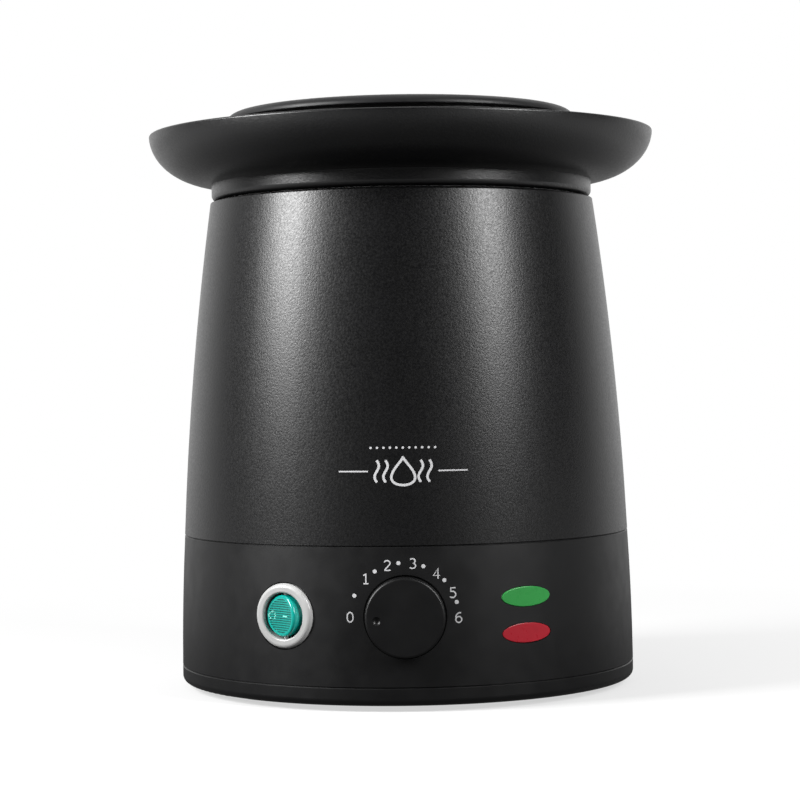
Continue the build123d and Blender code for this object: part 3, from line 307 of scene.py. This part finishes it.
def rubber(colour):
    """Matte rubber feet, dusty."""
    m = Surface("rubber", Specular_IOR_Level=0.3)
    m.tint(m.noise(1.5 * MM, detail=5), scaled(colour, 0.7), scaled(colour, 1.4))
    m.gloss(m.noise(1.0 * MM, detail=3), 0.7, 0.86)
    m.relief((m.noise(0.35 * MM, detail=4), 0.00002))
    return m


def silicone(colour):
    """Charcoal silicone gasket."""
    m = Surface("silicone", Subsurface_Weight=0.1, Subsurface_Scale=0.001)
    m.tint(m.noise(4 * MM, detail=3), scaled(colour, 0.85), colour)
    m.gloss(m.noise(2 * MM), 0.42, 0.56)
    m.relief((m.noise(0.6 * MM), 0.000008))
    return m


def black_nylon(colour):
    """Moulded nylon switch, thermostat and inlet bodies."""
    m = Surface("black_nylon")
    m.tint(m.noise(5 * MM, detail=3), scaled(colour, 0.7), scaled(colour, 1.2))
    m.gloss(m.noise(2.5 * MM, detail=3), 0.4, 0.55)
    m.relief((m.noise(0.3 * MM, detail=2), 0.000012))
    return m


def phenolic(colour):
    """Heat-proof grip with a moulding's flow marks."""
    m = Surface("phenolic", Coat_Weight=0.15, Coat_Roughness=0.2)
    m.tint(m.noise(3 * MM, detail=5, roughness=0.65), scaled(colour, 0.75), scaled(colour, 1.3))
    m.gloss(m.noise(1.5 * MM, detail=3), 0.28, 0.4)
    m.relief((m.noise(0.8 * MM, detail=2), 0.00001))
    return m


def wool(colour):
    """Needled glass wool: long fibres round the jacket, matted and uneven."""
    m = Surface("wool", Sheen_Weight=0.4, Sheen_Roughness=0.5)
    fibres = m.noise(0.35 * MM, detail=5, roughness=0.7, place=m.turned(0.01))
    mat = m.noise(3.5 * MM, detail=6, roughness=0.65)
    m.tint(m.math("MULTIPLY", m.math("ADD", fibres, mat), 0.5), scaled(colour, 0.62), colour)
    m.gloss(mat, 0.85, 0.95)
    m.relief((mat, 0.0004), (fibres, 0.00012))
    return m


def ceramic(colour):
    """Unglazed steatite."""
    m = Surface("ceramic", Specular_IOR_Level=0.35)
    m.tint(m.noise(0.8 * MM, detail=5), scaled(colour, 0.86), colour)
    m.gloss(m.noise(1.5 * MM, detail=3), 0.55, 0.75)
    m.relief((m.noise(0.25 * MM, detail=4), 0.000012))
    return m


def glass(colour):
    """Clear glass envelopes of the neon lamps."""
    m = Surface("glass", Transmission_Weight=0.9, IOR=1.5)
    m.tint(m.noise(2 * MM), scaled(colour, 0.92), colour)
    m.gloss(m.noise(1.2 * MM), 0.02, 0.08)
    m.relief((m.noise(1.0 * MM), 0.000006))
    return m


def insulation(name, colour):
    """Wire insulation, faintly uneven from the strands inside."""
    m = Surface(name, Coat_Weight=0.1, Coat_Roughness=0.3)
    m.tint(m.noise(4 * MM, detail=3), scaled(colour, 0.85), colour)
    m.gloss(m.noise(2 * MM, detail=2), 0.34, 0.48)
    m.relief((m.noise(0.7 * MM, detail=2), 0.000014))
    return m


def brown_wire(colour):
    return insulation("brown_wire", colour)


def blue_wire(colour):
    return insulation("blue_wire", colour)


def earth_wire(colour):
    """Green insulation with slanting yellow stripes."""
    m = insulation("earth_wire", colour)
    wave = m.add("ShaderNodeTexWave", wave_type="BANDS", bands_direction="DIAGONAL")
    wave.inputs["Scale"].default_value = 160.0
    m.join(m.place, wave.inputs["Vector"])
    m.tint(wave.outputs["Fac"], colour, (0.75, 0.62, 0.03), 0.48, 0.56)
    return m


def print_ink(colour):
    """Pad-printed ink, a little uneven. In pale teal on the rocker's raised marks, the pale colour is a painted
    highlight standing in for glints on their edges.
    """
    m = Surface("print_ink", Specular_IOR_Level=0.3)
    m.tint(m.noise(0.5 * MM, detail=4), scaled(colour, 0.82), colour)
    m.gloss(m.noise(0.8 * MM), 0.5, 0.65)
    m.relief((m.noise(0.2 * MM), 0.000003))
    return m


MAKERS = (
    textured_black, satin_black, lid_black, white_plastic, teal_plastic, green_lens, red_lens,
    aluminium, steel, stainless_wire, brass, copper, rubber, silicone, black_nylon, phenolic,
    wool, ceramic, glass, brown_wire, blue_wire, earth_wire,
)
materials = {make.__name__: make(colour_of_slot[make.__name__]).material for make in MAKERS}
for name, slot in slot_of_node.items():
    nodes[name].data.materials.clear()
    nodes[name].data.materials.append(materials[slot])

# ---------------------------------------------------------------- flat artwork
# Artwork is drawn in a plane in metres, x to the right and y up, as (points, faces).


def ribbon(points, width, closed=False):
    """A line of constant width along the points."""
    count = len(points)
    edge = []
    for i, point in enumerate(points):
        after = points[(i + 1) % count] if closed or i < count - 1 else point
        before = points[i - 1] if closed or i > 0 else point
        along = (Vector(after) - Vector(before)).normalized()
        side = Vector((-along.y, along.x)) * width / 2
        edge += [Vector(point) + side, Vector(point) - side]
    links = range(count if closed else count - 1)
    faces = [(2 * i, 2 * i + 1, (2 * i + 3) % (2 * count), (2 * i + 2) % (2 * count)) for i in links]
    return edge, faces


def disc(centre, radius, sides=28):
    """A filled circle."""
    turns = [2 * pi * i / sides for i in range(sides)]
    rim = [Vector(centre) + radius * Vector((cos(t), sin(t))) for t in turns]
    return rim, [tuple(range(sides))]


BOW_STEPS = 22


def bow(centre, across, tall, start, end, steps=BOW_STEPS):
    """Points along part of an ellipse, in degrees counterclockwise from its right."""
    turns = [radians(start + (end - start) * i / steps) for i in range(steps + 1)]
    return [Vector((centre[0] + across * cos(t), centre[1] + tall * sin(t))) for t in turns]


def line(*points):
    """Points of a straight or bent stroke."""
    return [Vector(p) for p in points]


# Strokes of each numeral in a cell one unit tall and centred on the origin
NUMERALS = {
    0: [bow((0, 0), 0.27, 0.44, 0, 350)],
    1: [
        line((-0.2, 0.3), (0.02, 0.43)),
        line((0.02, 0.48), (0.02, -0.44)),
        line((-0.22, -0.44), (0.26, -0.44)),
    ],
    2: [bow((-0.02, 0.2), 0.26, 0.24, 160, -35) + line((-0.27, -0.43)), line((-0.29, -0.44), (0.29, -0.44))],
    3: [bow((-0.04, 0.22), 0.25, 0.22, 145, -82), bow((-0.04, -0.21), 0.29, 0.23, 82, -145)],
    4: [line((0.13, -0.5), (0.13, 0.45), (-0.28, -0.2), (0.3, -0.2))],
    5: [line((0.23, 0.44), (-0.2, 0.44), (-0.2, 0.08)) + bow((-0.05, -0.16), 0.29, 0.28, 120, -140)],
    6: [bow((0.12, -0.02), 0.39, 0.46, 75, 175), bow((0.0, -0.17), 0.27, 0.27, 0, 350)],
}
STROKE_SHARE = 0.115  # of the numeral's height
LOOP_GAP = 0.1        # a bow whose ends are nearer than this share of the height is a loop


def digit(number, centre, height):
    """A numeral in strokes of constant width, with its loops closed."""
    drawings = []
    for stroke in NUMERALS[number]:
        closed = len(stroke) == BOW_STEPS + 1 and (stroke[0] - stroke[-1]).length < LOOP_GAP
        points = [Vector(centre) + height * p for p in stroke]
        drawings.append(ribbon(points, STROKE_SHARE * height, closed))
    return joined(drawings)


def joined(drawings):
    """Several drawings as one."""
    points, faces = [], []
    for more_points, more_faces in drawings:
        faces += [tuple(i + len(points) for i in face) for face in more_faces]
        points += more_points
    return points, faces


def surface_of(name):
    """Search tree of a CAD node's surface."""
    mesh = nodes[name].data
    return BVHTree.FromPolygons([v.co for v in mesh.vertices], [p.vertices for p in mesh.polygons])


def new_object(name, bm, material, body, smooth=False):
    """A piece from a bmesh, riding on a body."""
    mesh = bpy.data.meshes.new(name)
    bm.to_mesh(mesh)
    bm.free()
    for polygon in mesh.polygons:
        polygon.use_smooth = smooth
    mesh.materials.append(material)
    piece = bpy.data.objects.new(name, mesh)
    bpy.context.scene.collection.objects.link(piece)
    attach(piece, body)
    return piece


DROP_FROM = 50 * MM  # how far in front of the artwork's plane each point starts


def laid_on(name, drawing, node, origin, right, up, material, body, thickness):
    """Artwork as a thin raised layer: every point is dropped straight back on a CAD node."""
    right, up = Vector(right), Vector(up)
    inward = up.cross(right).normalized()
    skin = surface_of(node)
    bm = bmesh.new()
    points, faces = drawing
    sunk, raised = [], []
    for point in points:
        start = Vector(origin) + right * point.x + up * point.y - inward * DROP_FROM
        hit, normal = skin.ray_cast(start, inward)[:2]
        sunk.append(bm.verts.new(hit - normal * thickness))
        raised.append(bm.verts.new(hit + normal * thickness))
    rim = {}
    for face in faces:
        bm.faces.new([raised[i] for i in face])
        bm.faces.new([sunk[i] for i in reversed(face)])
        for a, b in zip(face, face[1:] + face[:1]):
            rim[(a, b)] = rim.get((a, b), 0) + 1
    for a, b in rim:
        if (b, a) not in rim:
            bm.faces.new([raised[b], raised[a], sunk[a], sunk[b]])
    bmesh.ops.recalc_face_normals(bm, faces=bm.faces)
    return new_object(name, bm, material, body)


ink = print_ink((0.6, 0.6, 0.61)).material
# Painted highlight: the rocker's marks get a pale teal that stands in for the glints on their raised edges.
pale_glint_ink = print_ink((0.3, 0.85, 0.74)).material
PRINT = 0.03 * MM  # thickness of the ink, above the surface and again below it

# ---------------------------------------------------------------- dial round the knob
SCALE_R = 18.5 * MM
NUMERAL_H = 3.75 * MM
DOT_R = 0.7 * MM
NUMERAL_STEP, DOT_STEP = 27.25, 26.8  # degrees
STEP_ANGLES = [179.7] + [134.7 - NUMERAL_STEP * i for i in range(6)]
DOT_ANGLES = [156.3] + [122.3 - DOT_STEP * i for i in range(5)]

knob_low, knob_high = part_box("temperature_knob")
knob_centre = (knob_low + knob_high) / 2
dial_centre = knob_centre + Vector((-0.3 * MM, 0, -0.1 * MM))


def on_dial(angle, radius=SCALE_R):
    """Place on the dial, in degrees counterclockwise from its right."""
    return Vector((radius * cos(radians(angle)), radius * sin(radians(angle))))


numerals = joined([digit(n, on_dial(a), NUMERAL_H) for n, a in enumerate(STEP_ANGLES)])
laid_on("dial_numerals", numerals, "control_ring", dial_centre, RIGHT, UP, ink, "root", PRINT)
dots = joined([disc(on_dial(a), DOT_R) for a in DOT_ANGLES])
laid_on("dial_dots", dots, "control_ring", dial_centre, RIGHT, UP, ink, "root", PRINT)

# ---------------------------------------------------------------- generic pictogram on the casing
EMBLEM_Z = 82.0 * MM
STROKE = 0.85 * MM
DROP_H = 9.5 * MM
WAVE_H, WAVE_SWING = 7.5 * MM, 0.75 * MM
WAVE_PLACES = (6.0 * MM, 9.0 * MM)
DASH_START_MM, DASH_STROKE = 12.0, 0.5 * MM
DOT_PITCH, DOT_ROW, DOT_SIZE = 2.2 * MM, 8.0 * MM, 0.42 * MM


def heat_wave(x, height, swing):
    """A rising wavy line."""
    count = 28
    steps = [height * (i / count - 0.5) for i in range(count + 1)]
    return [Vector((x + swing * sin(2 * pi * s / height), s)) for s in steps]


def drop(height):
    """Outline of a hanging drop."""
    count = 48
    turns = [2 * pi * i / count for i in range(count)]
    return [Vector((0.62 * height * sin(t) * abs(sin(t / 2)) ** 1.6, height / 2 * cos(t))) for t in turns]


def dash(side):
    """The short level line at one side."""
    points = [Vector((side * (DASH_START_MM + i) * MM, 0)) for i in range(11)]
    return ribbon(points[::side], DASH_STROKE)


waves = [ribbon(heat_wave(side * x, WAVE_H, WAVE_SWING), STROKE) for side in (-1, 1) for x in WAVE_PLACES]
row = [disc((i * DOT_PITCH, DOT_ROW), DOT_SIZE, 16) for i in range(-5, 6)]
emblem = joined([ribbon(drop(DROP_H), STROKE, closed=True)] + waves + [dash(-1), dash(1)] + row)
front_y = cad_box[0][1]
laid_on("casing_emblem", emblem, "outer_casing", (0, front_y, EMBLEM_Z), RIGHT, UP, ink, "root", PRINT)

# ---------------------------------------------------------------- marks on the rocker
tilt = joints["rocker_tilt"]
pivot = Vector(tilt["pos_m"])
rock = radians(tilt["range_deg"][1] / 2)
out_angle = atan2(pivot.y, pivot.x) - rock
outward = Vector((cos(out_angle), sin(out_angle), 0))
rocker_right = UP.cross(outward)

RING_X, RING_R, RING_STROKE = -4.5 * MM, 1.35 * MM, 0.45 * MM
BAR_STROKE = 0.42 * MM
MARK = 0.1 * MM  # as PRINT, for the rocker's marks
ring_points = [Vector((RING_X, 0)) + on_dial(a, RING_R) for a in range(0, 360, 12)]
ring_mark = ribbon(ring_points, RING_STROKE, closed=True)
bar_mark = ribbon([Vector(((0.9 + 0.3 * i) * MM, 0)) for i in range(9)], BAR_STROKE)
laid_on(
    "rocker_marks", joined([ring_mark, bar_mark]), "switch_rocker", pivot, rocker_right, UP,
    pale_glint_ink, "rocker", MARK,
)

# ---------------------------------------------------------------- wool jacket round the well
def wool_jacket():
    """The insulation as matted wool: a soft, uneven sleeve where the CAD has a plain ring."""
    low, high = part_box("insulation_jacket")
    outer = high.x
    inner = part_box("band_heater")[1].x + 0.3 * MM
    middle = (low.z + high.z) / 2
    gap = radians(12)  # half of the slit at the back
    turn, rise = 150, 26

    def matted(radius, z, place):
        """Radius and height of a point once the wool is uneven and its rims are pulled in."""
        edge = min(z - low.z, high.z - z) / (4 * MM)
        lift = 0.5 * MM * noise.noise(place / (7 * MM)) if edge < 0.01 else 0
        puff = 0.9 * MM * (noise.noise(place / (9 * MM)) - 0.6) + 0.35 * MM * noise.noise(place / (3 * MM))
        pull = -1.2 * MM * max(0.0, 1 - edge) ** 2
        inside = 0.25 * MM * (1 + noise.noise(place / (6 * MM)))
        shift = (puff + pull) if radius == outer else inside
        return radius + shift, z - abs(lift) * (1 if z > middle else -1)

    section = []
    for j in range(rise + 1):
        section.append((outer, low.z + (high.z - low.z) * j / rise))
    for j in range(rise + 1):
        section.append((inner, high.z - (high.z - low.z) * j / rise))
    bm = bmesh.new()
    loops = []
    for i in range(turn + 1):
        angle = pi / 2 + gap + (2 * pi - 2 * gap) * i / turn
        loop = []
        for radius, z in section:
            place = Vector((cos(angle) * radius, sin(angle) * radius, z))
            r, height = matted(radius, z, place)
            loop.append(bm.verts.new((cos(angle) * r, sin(angle) * r, height)))
        loops.append(loop)
    count = len(section)
    for a, b in zip(loops, loops[1:]):
        for j in range(count):
            k = (j + 1) % count
            bm.faces.new((a[j], a[k], b[k], b[j]))
    bm.faces.new(loops[0])
    bm.faces.new(list(reversed(loops[-1])))
    bmesh.ops.recalc_face_normals(bm, faces=bm.faces)
    piece = new_object("wool_jacket", bm, materials["wool"], "root", smooth=True)
    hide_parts("insulation_jacket")
    return piece


jacket = wool_jacket()

# ---------------------------------------------------------------- studio
FLOOR_R = 6.0


def stage_floor():
    """Pale floor. The camera sees it fade to white; reflections and bounce light get a dimmer glow,
    darkest in a strip that runs from front to back under the object."""
    bpy.ops.mesh.primitive_circle_add(vertices=96, radius=FLOOR_R, fill_type="NGON", location=(0, 0, 0))
    floor = bpy.context.object
    floor.name = "studio_floor"
    m = Surface("studio_floor", Roughness=0.9, Specular_IOR_Level=0.0)
    m.shader.inputs["Base Color"].default_value = (0.8, 0.8, 0.8, 1)
    tree = m.tree
    path = m.add("ShaderNodeLightPath")
    length = m.add("ShaderNodeVectorMath", operation="LENGTH")
    m.join(m.place, length.inputs[0])
    far = m.spread(length.outputs["Value"], 0.6, 1.0, 0.1, 0.4)
    glow = m.add("ShaderNodeEmission")
    glow.inputs["Color"].default_value = (1, 1, 1, 1)
    split = m.add("ShaderNodeSeparateXYZ")
    m.join(m.place, split.inputs[0])
    aside = m.spread(m.math("ABSOLUTE", split.outputs["X"]), 0.05, 0.7, 0.1, 0.5)
    away = m.spread(length.outputs["Value"], 0.12, 0.3, 0.15, 0.6)
    dim = m.add("ShaderNodeEmission")
    m.join(m.math("MAXIMUM", aside, away), dim.inputs["Strength"])
    dim.inputs["Color"].default_value = (1, 1, 1, 1)
    near_far = m.add("ShaderNodeMixShader")
    m.join(far, near_far.inputs["Fac"])
    m.join(m.shader.outputs[0], near_far.inputs[1])
    m.join(glow.outputs[0], near_far.inputs[2])
    seen = m.add("ShaderNodeMixShader")
    m.join(path.outputs["Is Camera Ray"], seen.inputs["Fac"])
    m.join(dim.outputs[0], seen.inputs[1])
    m.join(near_far.outputs[0], seen.inputs[2])
    m.join(seen.outputs[0], tree.nodes["Material Output"].inputs["Surface"])
    floor.data.materials.append(m.material)


def studio_world():
    """White to the camera all round. What lights the object is white behind it and dark elsewhere."""
    world = bpy.data.worlds.new("studio")
    bpy.context.scene.world = world
    world.use_nodes = True
    tree = world.node_tree
    background = tree.nodes["Background"]
    background.inputs["Color"].default_value = (1, 1, 1, 1)
    place = tree.nodes.new("ShaderNodeTexCoord")
    split = tree.nodes.new("ShaderNodeSeparateXYZ")
    tree.links.new(place.outputs["Generated"], split.inputs[0])
    ramp = tree.nodes.new("ShaderNodeMapRange")
    ramp.interpolation_type = "SMOOTHSTEP"
    for value, socket in zip((0.12, 0.78, 0.006, 1.0), ramp.inputs[1:5]):
        socket.default_value = value
    tree.links.new(split.outputs["Y"], ramp.inputs[0])
    path = tree.nodes.new("ShaderNodeLightPath")
    seen = tree.nodes.new("ShaderNodeMath")
    seen.operation = "MAXIMUM"
    tree.links.new(path.outputs["Is Camera Ray"], seen.inputs[0])
    tree.links.new(ramp.outputs[0], seen.inputs[1])
    tree.links.new(seen.outputs[0], background.inputs["Strength"])


SOFTBOX_AWAY = 1.0    # metres from the target
TARGET_Z = 110 * MM


def softbox(name, azimuth, elevation, size, power):
    """Area light that looks at the object. Azimuth 0 is the camera's side and grows to its right."""
    data = bpy.data.lights.new(name, "AREA")
    data.shape = "RECTANGLE"
    data.size, data.size_y = size
    data.energy = power
    lamp = bpy.data.objects.new(name, data)
    a, e = radians(azimuth), radians(elevation)
    target = Vector((0, 0, TARGET_Z))
    lamp.location = target + SOFTBOX_AWAY * Vector((sin(a) * cos(e), -cos(a) * cos(e), sin(e)))
    lamp.rotation_mode = "QUATERNION"
    lamp.rotation_quaternion = (lamp.location - target).to_track_quat("Z", "Y")
    bpy.context.scene.collection.objects.link(lamp)


CAMERA_AWAY, CAMERA_Z = 0.871, 0.116  # metres
ORBIT = radians(0.5)
PAN, PITCH, ROLL = 0.0018, -0.0124, -0.0147  # radians, from a level view along +Y


def camera():
    """Nearly level long-lens view from the front, turned and rolled by less than a degree."""
    data = bpy.data.cameras.new("camera")
    data.lens = 104.5
    data.sensor_width = 36.0
    eye = bpy.data.objects.new("camera", data)
    orbit = Matrix.Rotation(ORBIT, 4, "Z")
    place = Matrix.Translation((0, -CAMERA_AWAY, CAMERA_Z))
    pan = Matrix.Rotation(PAN, 4, "Z")
    pitch = Matrix.Rotation(pi / 2 + PITCH, 4, "X")
    roll = Matrix.Rotation(ROLL, 4, "Z")
    eye.matrix_world = orbit @ place @ pan @ pitch @ roll
    bpy.context.scene.collection.objects.link(eye)
    bpy.context.scene.camera = eye


stage_floor()
studio_world()
softbox("key_left", azimuth=-66, elevation=28, size=(0.33, 0.52), power=18)
softbox("key_right", azimuth=51, elevation=28, size=(0.26, 0.52), power=9.5)
softbox("top", azimuth=0, elevation=88, size=(0.7, 0.5), power=1.1)
camera()
bpy.context.scene.view_settings.view_transform = "Standard"
